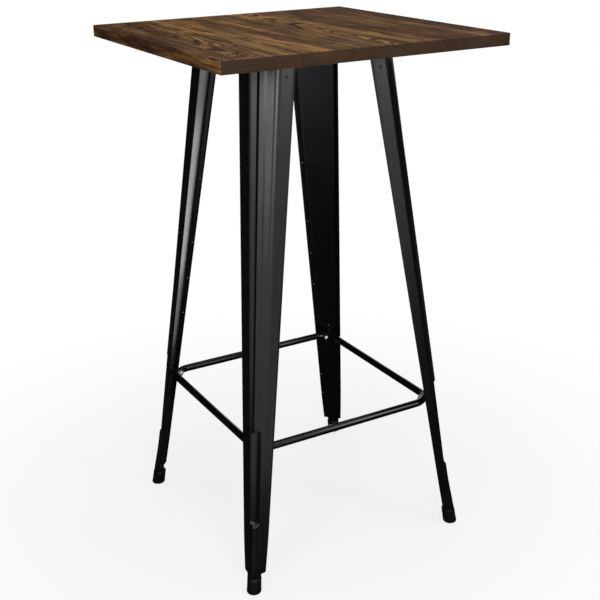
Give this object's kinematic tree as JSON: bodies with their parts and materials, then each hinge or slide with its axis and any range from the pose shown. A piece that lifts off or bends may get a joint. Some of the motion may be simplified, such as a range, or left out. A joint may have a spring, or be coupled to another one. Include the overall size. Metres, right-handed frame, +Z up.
{
  "type": "pub table",
  "caption": "Square bar-height table: solid board top on splayed pressed-steel legs with a bent-rod footrest ring and rubber feet.",
  "frame": {"origin": "on the floor under the centre of the top, midway between the four feet", "axes": "+Z up from the floor; X and Y run along the sides of the square top, and the boards run along Y"},
  "size_m": [0.6, 0.6, 1.075],
  "materials": {
    "stained_wood": "satin walnut-brown stain on open-grained hardwood",
    "black_powder_coat": "semi-gloss black powder coat",
    "zinc_plated_steel": "bright zinc plate",
    "black_rubber": "matt moulded rubber"
  },
  "bodies": {
    "root": {"foot_back_left": "black_rubber", "foot_back_right": "black_rubber", "foot_front_left": "black_rubber", "foot_front_right": "black_rubber", "foot_stud_back_left": "zinc_plated_steel", "foot_stud_back_right": "zinc_plated_steel", "foot_stud_front_left": "zinc_plated_steel", "foot_stud_front_right": "zinc_plated_steel", "footrest_bolt_back_left": "zinc_plated_steel", "footrest_bolt_back_right": "zinc_plated_steel", "footrest_bolt_front_left": "zinc_plated_steel", "footrest_bolt_front_right": "zinc_plated_steel", "footrest_boss_back_left": "black_powder_coat", "footrest_boss_back_right": "black_powder_coat", "footrest_boss_front_left": "black_powder_coat", "footrest_boss_front_right": "black_powder_coat", "footrest_ring": "black_powder_coat", "leg_back_plate_back_left": "black_powder_coat", "leg_back_plate_back_right": "black_powder_coat", "leg_back_plate_front_left": "black_powder_coat", "leg_back_plate_front_right": "black_powder_coat", "leg_end_plate_back_left": "black_powder_coat", "leg_end_plate_back_right": "black_powder_coat", "leg_end_plate_front_left": "black_powder_coat", "leg_end_plate_front_right": "black_powder_coat", "leg_shell_back_left": "black_powder_coat", "leg_shell_back_right": "black_powder_coat", "leg_shell_front_left": "black_powder_coat", "leg_shell_front_right": "black_powder_coat", "leg_top_bracket_back_left": "black_powder_coat", "leg_top_bracket_back_right": "black_powder_coat", "leg_top_bracket_front_left": "black_powder_coat", "leg_top_bracket_front_right": "black_powder_coat", "top_board_1": "stained_wood", "top_board_2": "stained_wood", "top_board_3": "stained_wood", "top_board_4": "stained_wood", "top_board_5": "stained_wood", "top_board_6": "stained_wood", "top_screws_back_left": "zinc_plated_steel", "top_screws_back_right": "zinc_plated_steel", "top_screws_front_left": "zinc_plated_steel", "top_screws_front_right": "zinc_plated_steel"}
  },
  "joints": []
}
